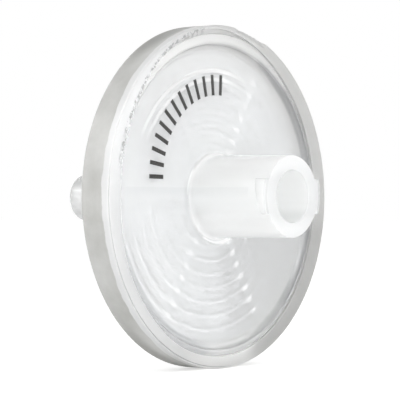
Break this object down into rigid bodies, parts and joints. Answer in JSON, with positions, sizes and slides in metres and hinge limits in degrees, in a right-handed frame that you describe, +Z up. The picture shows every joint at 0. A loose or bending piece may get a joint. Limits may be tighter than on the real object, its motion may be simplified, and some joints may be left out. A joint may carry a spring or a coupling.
{
  "type": "syringe filter",
  "caption": "Round disc syringe filter with a female luer-lock inlet socket, a male luer slip outlet tip, a clamped membrane between ribbed discs and a sealed rim.",
  "frame": {"origin": "centre of the inlet socket's mouth, on the flow axis", "axes": "+Y along the flow axis from the inlet to the outlet, +X through the two luer-lock lugs, +Z up"},
  "size_m": [0.0284, 0.023, 0.0284],
  "materials": {
    "housing": "natural translucent polypropylene, moulded smooth",
    "rim": "translucent overmoulded polypropylene, slightly greyer, satin gloss",
    "membrane": "white matt filter membrane"
  },
  "bodies": {
    "root": {"inlet_housing": "housing", "membrane": "membrane", "outlet_housing": "housing", "rim_ring": "rim"}
  },
  "joints": []
}
